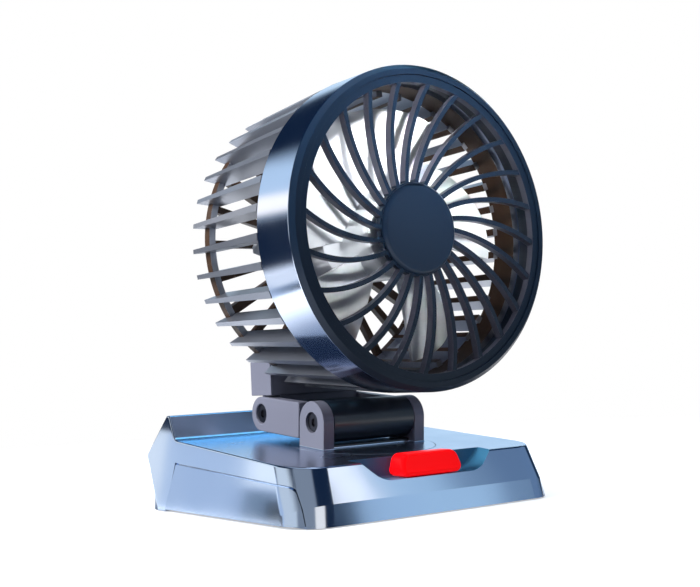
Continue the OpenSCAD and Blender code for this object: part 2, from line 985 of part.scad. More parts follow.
// Impeller with wide blades on a cup hub
module impeller() {
  color([0.93, 0.94, 0.97])
  head_frame()
  difference() {
    union() {
      difference() {
        rotate_extrude()
          polygon([[0, cup_d0], [cup_r - cup_round, cup_d0], [cup_r - 0.9, cup_d0 + 0.9], [cup_r, cup_d0 + cup_round],
            [cup_r, cup_d0 + cup_len], [0, cup_d0 + cup_len]]);
        translate([0, 0, cup_d0 + cup_wall])
          cylinder(r = cup_r - cup_wall, h = cup_len);
      }
      translate([0, 0, cup_d0 + 1])
        cylinder(r = 4, h = motor_d0 - 3.6 - cup_d0 - 1);
      difference() {
        for (i = [0:blade_count - 1])
          rotate([0, 0, i*360/blade_count + blade_phase])
            blade();
        cylinder(r = cup_r - 0.4, h = head_reach);
      }
    }
    translate([0, 0, shaft_d0])
      cylinder(r = shaft_r, h = 60);
  }
}

// Motor shaft, turning with the impeller
module motor_shaft() {
  color([0.70, 0.71, 0.73])
  head_frame()
    translate([0, 0, shaft_d0])
      cylinder(r = shaft_r, h = shaft_d1 - shaft_d0);
}

// Lock ring on the shaft behind the hub
module shaft_lock() {
  color([0.70, 0.71, 0.73])
  head_frame()
    ring(shaft_r, 2.6, motor_d0 - 3.5, motor_d0 - 2.4);
}

base_shell();
side_panel_left();
side_panel_right();
bottom_cover();
grip_pad();
cover_screws();
circuit_board();
push_switch();
power_socket();
push_bar();
turntable();
turntable_ring();
front_pin();
front_nut();
link_body();
cheek_left();
cheek_right();
rear_pin();
rear_nut();
neck();
motor_mount();
motor_screws();
fin_cage();
front_band();
front_grille();
hub_cap();
rear_cap();
motor();
impeller();
motor_shaft();
shaft_lock();
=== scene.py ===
# Folding desk fan: finned drum head, double hinge, turntable and plated wedge base.
import json
import math

import bmesh
import bpy
from mathutils import Matrix, Vector


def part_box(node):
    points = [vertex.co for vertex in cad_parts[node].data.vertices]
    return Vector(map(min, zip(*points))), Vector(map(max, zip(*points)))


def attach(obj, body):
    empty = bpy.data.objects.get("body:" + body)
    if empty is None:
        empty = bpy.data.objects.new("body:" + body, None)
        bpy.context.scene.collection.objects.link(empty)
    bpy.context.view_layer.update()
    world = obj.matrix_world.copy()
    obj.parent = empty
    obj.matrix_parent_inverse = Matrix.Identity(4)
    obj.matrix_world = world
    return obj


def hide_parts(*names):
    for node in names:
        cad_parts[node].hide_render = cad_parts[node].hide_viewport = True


bl_info = {
    "name": "Folding desk fan",
    "version": (1, 0, 0),
    "blender": (4, 5, 0),
    "location": "View3D > Sidebar > Desk Fan",
    "description": "Dresses the folding desk fan with modelled skins, finishes, light and camera",
    "category": "Object",
}

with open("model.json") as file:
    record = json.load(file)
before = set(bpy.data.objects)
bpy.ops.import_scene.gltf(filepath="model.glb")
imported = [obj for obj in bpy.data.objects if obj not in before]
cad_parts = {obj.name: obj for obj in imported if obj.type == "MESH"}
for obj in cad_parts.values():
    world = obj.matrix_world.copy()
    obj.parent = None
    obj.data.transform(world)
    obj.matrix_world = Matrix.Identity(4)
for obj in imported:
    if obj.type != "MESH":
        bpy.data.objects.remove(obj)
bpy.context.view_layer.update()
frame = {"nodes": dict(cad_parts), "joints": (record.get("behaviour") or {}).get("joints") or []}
CAD = frame["nodes"]

# Places taken from the solids
BASE_LO, BASE_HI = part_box("base_shell")
BAR_LO, BAR_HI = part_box("push_bar")
BAND_LO, BAND_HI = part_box("front_band")
SOCKET_LO, SOCKET_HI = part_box("power_socket")
CAGE_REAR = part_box("fin_cage")[1].y
TABLE_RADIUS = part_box("turntable")[1].x
AXIS = (BAND_LO + BAND_HI) / 2

# Form of the base, in metres
FOOT_OUT = 0.0005
WALL_IN = 0.0025
SKIRT_IN = 0.0011
LIP_RISE_RUN = 0.006
LIP_CROWN_RUN = 0.0082
LIP_FILLET = 0.0014
REAR_DRAW = 0.0015
REAR_BULGE = ((-0.0004, 0.0203), (0.0, 0.0192), (-0.0010, 0.0172), (-WALL_IN, 0.0154))
DECK_WALL = 0.0075
HOLLOW_FRONT = 0.016
HOLLOW_HALF = 0.0475
HOLLOW_REAR = 0.0085
HOLLOW_REAR_TOP = 0.0165
SEAT_GAP = 0.00016
SEAT_FLOOR = -0.002
BOSS_HOLE = 0.0085
SOCKET_GAP = 0.0003
UNDERCUT = 0.004

# Seam of the side panels
SEAM_IN = 0.0022
SEAM_LEAN = 0.0050
SEAM_TOP = 0.013
SEAM_TILT = math.radians(3.4)
PANEL_TOP_END = 0.0230
PANEL_FOOT_END = 0.0165
PANEL_CORNER = 0.0042
PANEL_GAP = 0.0006
PANEL_REACH = 0.012
POCKET_WALL = 0.0505
POCKET_SLACK = 0.0002

# Push bar and its recess
NOTCH_LOW = 0.012
NOTCH_HIGH = 0.030
NOTCH_BEND = 0.0188
NOTCH_FOOT_HALF = 0.0205
NOTCH_HALF = 0.0283
NOTCH_FRONT = 0.0042
NOTCH_BACK = 0.012
SCOOP_RADIUS = 0.0034
HEEL_RADIUS = 0.0009
BAR_DEEP = 0.0074
BAR_LEAN = 0.0016
BAR_DRAW = 0.0022
BAR_FOOT_RADIUS = 0.0034
BAR_TOP_RADIUS = 0.0022
BAR_FRONT_RADIUS = 0.0015
PINS = ((-0.0095, 0.0014), (0.0, 0.0016), (0.0095, 0.0014))
PIN_GAP = 0.0003
STEM_UP = 0.0143

# Hinge and drum
# Bounds of the painted shadow under the barrel, on the sill of the turntable
SHADOW_SILL_HALF = 0.0174
SHADOW_SILL_TOP = 0.006
PLATE_TOP = 0.0006
SLEEVE_INSIDE = 0.044
HOOP_OUTSIDE = 0.0492
HOOP_FRONT = 0.0068
RIB_COUNT = 24
RIBS_PER_ARM = 4
FIRST_ARM = 2
RIB_INNER = 0.0160
RIB_OUTER = 0.0464
RIB_THICK = 0.0024
RIB_DEEP = 0.0032
RIB_FRONT = 0.0070
RIB_EDGE = 0.0002
BLADE_EDGE = 0.0003
MOUNT_RADIUS = 0.0172
SPOKE_ROOT = 0.0163
RIM_INSIDE = 0.0486

# Tolerances
TINY = 1e-6
WELD = 2e-6
SLIGHT = 1e-4
FLAT = math.radians(0.6)
CORNER = math.radians(38)
SHARP = math.radians(44)
SHELL_SHARP = math.radians(32)
CRISP = math.radians(14)


class FanSizes(bpy.types.PropertyGroup):
    """Sizes of the dressed pieces that a user would change."""

    corner_radius: bpy.props.FloatProperty(
        name="Corner radius", description="Plan radius of the front corners of the base",
        default=0.012, min=0.004, max=0.02, unit="LENGTH")
    rear_corner_radius: bpy.props.FloatProperty(
        name="Rear corner radius", description="Plan radius of the lower rear corners of the base",
        default=0.009, min=0.002, max=0.012, unit="LENGTH")
    side_lean: bpy.props.FloatProperty(
        name="Side lean", description="How far the side walls draw in for each unit of height",
        default=0.12, min=0.0, max=0.25)
    skirt_height: bpy.props.FloatProperty(
        name="Skirt height", description="Height of the crease along the front of the base",
        default=0.0071, min=0.004, max=0.01, unit="LENGTH")
    deck_front: bpy.props.FloatProperty(
        name="Deck front height", description="Height of the deck at its front edge",
        default=0.0182, min=0.015, max=0.022, unit="LENGTH")
    deck_setback: bpy.props.FloatProperty(
        name="Deck setback", description="Distance of the deck edge behind the front foot",
        default=0.0054, min=0.003, max=0.009, unit="LENGTH")
    deck_tilt: bpy.props.FloatProperty(
        name="Deck tilt", description="Slope of the deck towards the rear",
        default=math.radians(5.1), min=0.0, max=0.2, unit="ROTATION")
    lip_foot: bpy.props.FloatProperty(
        name="Lip foot", description="Distance of the foot of the rear lip from the rear face",
        default=0.022, min=0.015, max=0.03, unit="LENGTH")
    edge_radius: bpy.props.FloatProperty(
        name="Edge radius", description="Rounding of the outer edges of the base",
        default=0.0008, min=0.0002, max=0.002, unit="LENGTH")
    hinge_edge: bpy.props.FloatProperty(
        name="Hinge edge radius", description="Rounding of the edges of the hinge pieces",
        default=0.0005, min=0.0001, max=0.001, unit="LENGTH")
    head_edge: bpy.props.FloatProperty(
        name="Head edge radius", description="Rounding of the edges of grille and band",
        default=0.0004, min=0.0001, max=0.001, unit="LENGTH")


class FanColours(bpy.types.PropertyGroup):
    """Colours of the finishes that a user would change."""

    shell_tint: bpy.props.FloatVectorProperty(
        name="Shell plating", description="Tint of the bright plating on the base",
        default=(0.66, 0.77, 0.93), size=3, min=0.0, max=1.0, subtype="COLOR")
    panel_tint: bpy.props.FloatVectorProperty(
        name="Panel plating", description="Tint of the plating on the side panels",
        default=(0.60, 0.71, 0.88), size=3, min=0.0, max=1.0, subtype="COLOR")
    band_tint: bpy.props.FloatVectorProperty(
        name="Band plating", description="Tint of the bright plating on the drum band",
        default=(0.60, 0.68, 0.84), size=3, min=0.0, max=1.0, subtype="COLOR")
    cage_tint: bpy.props.FloatVectorProperty(
        name="Cage paint", description="Metallic paint of the cage fins",
        default=(0.31, 0.33, 0.385), size=3, min=0.0, max=1.0, subtype="COLOR")
    hinge_tint: bpy.props.FloatVectorProperty(
        name="Hinge paint", description="Satin paint of ears, cheeks and neck",
        default=(0.205, 0.213, 0.280), size=3, min=0.0, max=1.0, subtype="COLOR")
    link_tint: bpy.props.FloatVectorProperty(
        name="Barrel plastic", description="Dark plastic of the hinge barrel",
        default=(0.009, 0.017, 0.030), size=3, min=0.0, max=1.0, subtype="COLOR")
    grille_tint: bpy.props.FloatVectorProperty(
        name="Grille plastic", description="Navy plastic of grille and hub cap",
        default=(0.006, 0.016, 0.036), size=3, min=0.0, max=1.0, subtype="COLOR")
    blade_tint: bpy.props.FloatVectorProperty(
        name="Blade plastic", description="White plastic of the impeller",
        default=(0.88, 0.92, 0.97), size=3, min=0.0, max=1.0, subtype="COLOR")
    bar_tint: bpy.props.FloatVectorProperty(
        name="Bar plastic", description="Red plastic of the push bar",
        default=(0.90, 0.002, 0.004), size=3, min=0.0, max=1.0, subtype="COLOR")


def sizes():
    """The sizes kept on the scene."""
    return bpy.context.scene.fan_sizes


def colours():
    """The colours kept on the scene."""
    return bpy.context.scene.fan_colours


def ramp(nodes, low, high, at_low, at_high, smooth=False):
    """A node that maps one range of values to another."""
    node = nodes.new("ShaderNodeMapRange")
    if smooth:
        node.interpolation_type = "SMOOTHSTEP"
    node.inputs["From Min"].default_value = low
    node.inputs["From Max"].default_value = high
    node.inputs["To Min"].default_value = at_low
    node.inputs["To Max"].default_value = at_high
    return node


def math_step(nodes, operation):
    """A math node for one operation."""
    node = nodes.new("ShaderNodeMath")
    node.operation = operation
    return node


def colour_mix(nodes):
    """A mix node for colours."""
    node = nodes.new("ShaderNodeMix")
    node.data_type = "RGBA"
    return node


def new_group(name, inputs, outputs):
    """An empty shader group with its sockets, its way in and its way out."""
    group = bpy.data.node_groups.new(name, "ShaderNodeTree")
    for way, sockets in (("INPUT", inputs), ("OUTPUT", outputs)):
        for label, kind in sockets:
            group.interface.new_socket(label, in_out=way, socket_type="NodeSocket" + kind)
    return group, group.nodes.new("NodeGroupInput"), group.nodes.new("NodeGroupOutput")


def grain_group():
    """Moulding grain: fine and broad noise as a height and as a roughness."""
    found = bpy.data.node_groups.get("Moulding grain")
    if found:
        return found
    inputs = (("Grain size", "Float"), ("Low roughness", "Float"), ("High roughness", "Float"))
    outputs = (("Height", "Float"), ("Roughness", "Float"))
    group, entry, leave = new_group("Moulding grain", inputs, outputs)
    nodes = group.nodes
    links = group.links
    coord = nodes.new("ShaderNodeTexCoord")
    fine = nodes.new("ShaderNodeTexNoise")
    fine.inputs["Detail"].default_value = 3.0
    broad = nodes.new("ShaderNodeTexNoise")
    broad.inputs["Scale"].default_value = 55.0
    broad.inputs["Detail"].default_value = 4.0
    spread = ramp(nodes, 0.3, 0.7, 0.0, 1.0)
    links.new(coord.outputs["Object"], fine.inputs["Vector"])
    links.new(coord.outputs["Object"], broad.inputs["Vector"])
    links.new(entry.outputs["Grain size"], fine.inputs["Scale"])
    links.new(broad.outputs["Fac"], spread.inputs["Value"])
    links.new(entry.outputs["Low roughness"], spread.inputs["To Min"])
    links.new(entry.outputs["High roughness"], spread.inputs["To Max"])
    links.new(fine.outputs["Fac"], leave.inputs["Height"])
    links.new(spread.outputs["Result"], leave.inputs["Roughness"])
    return group


def shade_group():
    """Tone drift: mixes two tints of a finish over broad soft patches."""
    found = bpy.data.node_groups.get("Tone drift")
    if found:
        return found
    inputs = (("Tint", "Color"), ("Drift", "Color"), ("Patch size", "Float"))
    group, entry, leave = new_group("Tone drift", inputs, (("Color", "Color"),))
    nodes = group.nodes
    links = group.links
    coord = nodes.new("ShaderNodeTexCoord")
    patch = nodes.new("ShaderNodeTexNoise")
    patch.inputs["Detail"].default_value = 2.0
    blend = colour_mix(nodes)
    links.new(coord.outputs["Object"], patch.inputs["Vector"])
    links.new(entry.outputs["Patch size"], patch.inputs["Scale"])
    links.new(patch.outputs["Fac"], blend.inputs["Factor"])
    links.new(entry.outputs["Tint"], blend.inputs["A"])
    links.new(entry.outputs["Drift"], blend.inputs["B"])
    links.new(blend.outputs["Result"], leave.inputs["Color"])
    return group


def finish(name, tint, metal=0.0, rough=(0.3, 0.36), grain=900.0, bump=0.0, coat=0.0,
           drift=0.94, glow=0.0, shine=0.5):
    """A procedural finish with grain, roughness patches, a slight drift of tone and an optional painted
    glow.
    """
    made = bpy.data.materials.get(name)
    if made:
        return made
    made = bpy.data.materials.new(name)
    made.use_nodes = True
    nodes = made.node_tree.nodes
    links = made.node_tree.links
    shader = nodes["Principled BSDF"]
    shader.inputs["Metallic"].default_value = metal
    shader.inputs["Coat Weight"].default_value = coat
    shader.inputs["Coat Roughness"].default_value = 0.08
    shader.inputs["Specular IOR Level"].default_value = shine
    tone = nodes.new("ShaderNodeGroup")
    tone.node_tree = shade_group()
    tone.inputs["Tint"].default_value = (*tint, 1.0)
    tone.inputs["Drift"].default_value = (*(c * drift for c in tint), 1.0)
    tone.inputs["Patch size"].default_value = 38.0
    links.new(tone.outputs["Color"], shader.inputs["Base Color"])
    grit = nodes.new("ShaderNodeGroup")
    grit.node_tree = grain_group()
    grit.inputs["Grain size"].default_value = grain
    grit.inputs["Low roughness"].default_value = rough[0]
    grit.inputs["High roughness"].default_value = rough[1]
    links.new(grit.outputs["Roughness"], shader.inputs["Roughness"])
    if bump > 0.0:
        relief = nodes.new("ShaderNodeBump")
        relief.inputs["Strength"].default_value = bump
        relief.inputs["Distance"].default_value = 0.0002
        links.new(grit.outputs["Height"], relief.inputs["Height"])
        links.new(relief.outputs["Normal"], shader.inputs["Normal"])
    # The glow is painted light: emission in the finish's own tint, on a part that is no lamp.
    if glow > 0.0:
        shader.inputs["Emission Strength"].default_value = glow
        links.new(tone.outputs["Color"], shader.inputs["Emission Color"])
    return made


def shell_plating():
    """Bright plating of the base."""
    return finish("Shell plating", colours().shell_tint, metal=1.0, rough=(0.10, 0.14), drift=0.97)


def deck_plating():
    """Softer plating of the deck and the turntable plate."""
    return finish("Deck plating", colours().shell_tint, metal=1.0, rough=(0.22, 0.28), drift=0.97)


def panel_plating():
    """Bright plating of the side panels."""
    return finish("Panel plating", colours().panel_tint, metal=1.0, rough=(0.10, 0.14), drift=0.95)


def recess_painted_blue_light():
    """Satin inside the bar recess, its blue a painted pool of blue light."""
    return finish("Recess painted blue light", (0.07, 0.30, 0.52), rough=(0.42, 0.50), grain=1500.0, bump=0.05,
                  shine=0.3)


def band_plating():
    """Bright plating of the drum band."""
    return finish("Band plating", colours().band_tint, metal=1.0, rough=(0.11, 0.15), drift=0.96)


def cage_paint():
    """Metallic paint of the fins and the rear ribs."""
    return finish("Cage paint", colours().cage_tint, metal=0.75, rough=(0.30, 0.38), grain=1400.0,
                  bump=0.06)


def hinge_paint():
    """Satin paint of the hinge and the neck."""
    return finish("Hinge paint", colours().hinge_tint, metal=0.12, rough=(0.36, 0.44), grain=1600.0,
                  bump=0.08, shine=0.35)


def barrel_plastic():
    """Dark plastic of the hinge barrel."""
    return finish("Barrel plastic", colours().link_tint, rough=(0.30, 0.38), grain=1600.0, bump=0.08,
                  coat=0.15)


def grille_plastic():
    """Navy plastic of the grille and its hub cap."""
    return finish("Grille plastic", colours().grille_tint, rough=(0.30, 0.36), grain=1800.0, bump=0.05,
                  shine=0.3)


def flank_painted_highlight():
    """Lighter satin on the flanks of the spokes: a painted highlight for the light that catches them."""
    return finish("Flank painted highlight", (0.13, 0.135, 0.185), metal=0.4, rough=(0.32, 0.40), grain=1800.0,
                  bump=0.05)


def drum_painted_shade():
    """Dark lining inside the drum."""
    # Dark brown satin for inside the drum: painted shade, with the brown of a painted reflection.
    return finish("Drum painted shade", (0.055, 0.030, 0.018), rough=(0.40, 0.48), grain=1500.0, bump=0.06,
                  shine=0.25)


def blade_plastic():
    """White plastic of the impeller."""
    return finish("Blade plastic", colours().blade_tint, rough=(0.22, 0.28), coat=0.3, drift=0.97)


def bar_plastic_painted_glow():
    """Red plastic of the push bar with a painted glow: emission that keeps it bright though it holds no
    lamp.
    """
    return finish("Bar plastic", colours().bar_tint, rough=(0.30, 0.36), drift=0.94, glow=0.80, shine=0.12)


def dark_steel():
    """Blackened steel of the hinge screws."""
    return finish("Dark steel", (0.10, 0.10, 0.12), metal=1.0, rough=(0.30, 0.40), drift=0.8)


def bright_steel():
    """Plain steel of motor, shaft and small screws."""
    return finish("Bright steel", (0.58, 0.59, 0.61), metal=1.0, rough=(0.26, 0.36), drift=0.9)


def cover_plastic():
    """Black plastic of the bottom cover."""
    return finish("Cover plastic", (0.020, 0.021, 0.025), rough=(0.45, 0.55), grain=1500.0, bump=0.2)


def pad_rubber():
    """Matt rubber of the grip pad."""
    return finish("Pad rubber", (0.012, 0.012, 0.013), rough=(0.70, 0.82), grain=1100.0, bump=0.3)


def board_lacquer():
    """Green lacquer of the circuit board."""
    return finish("Board lacquer", (0.015, 0.12, 0.06), rough=(0.22, 0.30), coat=0.3)


def lock_brass():
    """Brass of the lock ring on the shaft."""
    return finish("Lock brass", (0.62, 0.44, 0.18), metal=1.0, rough=(0.25, 0.33))


def dress_node(node, material):
    """Gives a CAD node its finish."""
    piece = CAD[node]
    piece.data.materials.clear()
    piece.data.materials.append(material)
    for polygon in piece.data.polygons:
        polygon.use_smooth = True
    return piece


def sharpen(bm, angle):
    """Smooth faces with sharp edges where they meet at more than the angle."""
    for face in bm.faces:
        face.smooth = True
    for edge in bm.edges:
        edge.smooth = not (edge.is_manifold and edge.calc_face_angle(0.0) > angle)


def sharpen_crease(bm):
    """Keeps the crease along the front of the base a sharp line that runs out at the corners."""
    low = 0.003
    high = sizes().skirt_height + 0.0004
    rear = BASE_LO.y + 0.02
    slant = 0.35
    fold = math.radians(3)
    for edge in bm.edges:
        start, end = (v.co for v in edge.verts)
        along_front = all(low < p.z < high and p.y < rear for p in (start, end))
        level = abs(start.z - end.z) < slant * edge.calc_length()
        if along_front and level and edge.is_manifold and edge.calc_face_angle(0.0) > fold:
            edge.smooth = False


def make_piece(bm, name, body, slot, *materials):
    """Turns a bmesh into a named object that rides on a body."""
    mesh = bpy.data.meshes.new(name)
    bm.to_mesh(mesh)
    bm.free()
    for material in materials:
        mesh.materials.append(material)
    piece = bpy.data.objects.new(name, mesh)
    bpy.context.scene.collection.objects.link(piece)
    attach(piece, body)
    return piece


def even_shading(piece):
    """Keeps large flat faces flat beside rounded edges."""
    even = piece.modifiers.new("Even shading", "WEIGHTED_NORMAL")
    even.keep_sharp = True
    even.weight = 60
    return piece


def bevel(bm, edges, width, segments, clamp=True):
    """Rounds the given edges."""
    bmesh.ops.bevel(bm, geom=list(edges), offset=width, offset_type="OFFSET", segments=segments,
                    profile=0.5, affect="EDGES", clamp_overlap=clamp, material=-1)


def round_corners(bm, corners, width, segments):
    """Rounds the given corners of a flat face."""
    bmesh.ops.bevel(bm, geom=corners, offset=width, offset_type="OFFSET", segments=segments,
                    profile=0.5, affect="VERTICES", material=-1)


def draw_out(bm, reach):
    """Extrudes the faces along a vector to a closed solid and gives back the moved corners."""
    grown = bmesh.ops.extrude_face_region(bm, geom=list(bm.faces))
    moved = [g for g in grown["geom"] if isinstance(g, bmesh.types.BMVert)]
    bmesh.ops.translate(bm, verts=moved, vec=reach)
    bmesh.ops.recalc_face_normals(bm, faces=bm.faces)
    return moved


def soft_copy(node, name, body, slot, width, segments, *materials):
    """A copy of a CAD node with merged faces and rounded edges, in the node's place."""
    bm = bmesh.new()
    bm.from_mesh(CAD[node].data)
    bmesh.ops.remove_doubles(bm, verts=bm.verts, dist=WELD)
    bmesh.ops.dissolve_limit(bm, angle_limit=FLAT, verts=bm.verts, edges=bm.edges)
    bevel(bm, [e for e in bm.edges if e.is_manifold and e.calc_face_angle(0.0) > CORNER], width, segments)
    sharpen(bm, SHARP)
    for face in bm.faces:
        face.material_index = 0
    piece = make_piece(bm, name, body, slot, *materials)
    even_shading(piece)
    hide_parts(node)
    return piece


def carve(bm, *cutters, keep="DIFFERENCE"):
    """Cuts a solid bmesh with each cutter, also a bmesh, and gives back what is kept."""
    mesh = bpy.data.meshes.new("carved")
    bm.to_mesh(mesh)
    bm.free()
    solid = bpy.data.objects.new("carved", mesh)
    bpy.context.scene.collection.objects.link(solid)
    tools = []
    for cutter in cutters:
        blade = bpy.data.meshes.new("cutter")
        cutter.to_mesh(blade)
        cutter.free()
        tool = bpy.data.objects.new("cutter", blade)
        bpy.context.scene.collection.objects.link(tool)
        step = solid.modifiers.new("Carve", "BOOLEAN")
        step.operation = keep
        step.solver = "EXACT"
        step.object = tool
        tools.append(tool)
    bpy.context.view_layer.update()
    result = bmesh.new()
    result.from_object(solid, bpy.context.evaluated_depsgraph_get())
    for spent in (solid, *tools):
        data = spent.data
        bpy.data.objects.remove(spent)
        bpy.data.meshes.remove(data)
    return result


def prism(outline, half):
    """A solid from a side outline of depth and height, carried across the width."""
    bm = bmesh.new()
    bm.faces.new([bm.verts.new((-half, y, z)) for y, z in outline])
    draw_out(bm, (2 * half, 0, 0))
    return bm


def round_block(radius, low, high, place, segments=96):
    """A round solid along the local Z of a placing matrix."""
    bm = bmesh.new()
    middle = place @ Matrix.Translation((0, 0, (low + high) / 2))
    bmesh.ops.create_cone(bm, cap_ends=True, segments=segments, radius1=radius, radius2=radius,
                          depth=high - low, matrix=middle)
    return bm


def deck_height(y):
    """Height of the deck at a depth."""
    s = sizes()
    return s.deck_front + math.tan(s.deck_tilt) * (y - BASE_LO.y - s.deck_setback)


def deck_frame():
    """Place of the turning axis on the deck, with Z square to the deck."""
    turn = next(j for j in frame["joints"] if j["name"] == "table_turn")
    return Matrix.Translation(Vector(turn["pos_m"])) @ Matrix.Rotation(sizes().deck_tilt, 4, "X")


def side_edges(bm):
    """Edges that lie along one end of a prism, so on one side of the base."""
    found = []
    for edge in bm.edges:
        start, end = (v.co for v in edge.verts)
        one_side = start.x * end.x > 0 and abs(start.x - end.x) < 0.004
        if one_side and abs(start.z - end.z) > SLIGHT:
            found.append(edge)
    return found


def seam_depth(z):
    """Depth of the leaning seam between front nose and side panel at a height."""
    return BASE_LO.y + SEAM_IN + SEAM_LEAN * z / SEAM_TOP


def band_line(y):
    """Height of the underside of the upper band on the base sides."""
    return SEAM_TOP + math.tan(SEAM_TILT) * (y - seam_depth(SEAM_TOP))


def panel_face(bm, x, foot, gap):
    """Face of a side panel with a rounded upper front corner, drawn in by a gap."""
    top = SEAM_TOP - gap
    top_end = BASE_HI.y - PANEL_TOP_END
    foot_end = BASE_HI.y - PANEL_FOOT_END
    outline = [
        (seam_depth(foot) + gap, foot),
        (seam_depth(top) + gap, top),
        (top_end - gap, band_line(top_end) - gap),
        (foot_end - gap, foot),
    ]
    corners = [bm.verts.new((x, y, z)) for y, z in outline]
    bm.faces.new(corners)
    round_corners(bm, [corners[1]], PANEL_CORNER - gap / 2, 6)


def base_form():
    """Outer form of the base with its rounded corners and edges, before anything is cut out."""
    s = sizes()
    front = BASE_LO.y
    rear = BASE_HI.y
    foot = BASE_LO.z
    top = BASE_HI.z
    half = BASE_HI.x + FOOT_OUT
    lip = rear - s.lip_foot
    outline = [
        (front, foot),
        (front + SKIRT_IN, s.skirt_height),
        (front + s.deck_setback, s.deck_front),
        (lip, deck_height(lip)),
        (lip + LIP_RISE_RUN, top),
        (lip + LIP_CROWN_RUN, top),
        *((rear + out, z) for out, z in REAR_BULGE),
        (rear - WALL_IN, foot),
    ]
    bm = prism(outline, half)
    for v in bm.verts:
        drawn = s.side_lean * v.co.z + REAR_DRAW * max(0.0, v.co.y / rear)
        v.co.x -= math.copysign(drawn, v.co.x)
    foot_line = [e for e in bm.edges if all(abs(v.co.y - lip) < TINY for v in e.verts)]
    bevel(bm, foot_line, LIP_FILLET, 4, clamp=False)
    nose = front + s.deck_setback + TINY
    corners = [e for e in side_edges(bm) if all(v.co.y < nose for v in e.verts)]
    bevel(bm, corners, s.corner_radius, 14, clamp=False)
    backs = [e for e in side_edges(bm) if all(abs(v.co.y - rear + WALL_IN) < TINY for v in e.verts)]
    bevel(bm, backs, s.rear_corner_radius, 8, clamp=False)
    crisp = [e for e in bm.edges if e.is_manifold and e.calc_face_angle(0.0) > CRISP
             and max(v.co.z for v in e.verts) > foot + SLIGHT]
    bevel(bm, crisp, s.edge_radius, 3)
    return bm


def panel_block(side, foot, inner, gap):
    """Block that takes a side panel out of the form of the base."""
    bm = bmesh.new()
    panel_face(bm, side * inner, foot, gap)
    draw_out(bm, (side * PANEL_REACH, 0, 0))
    return bm


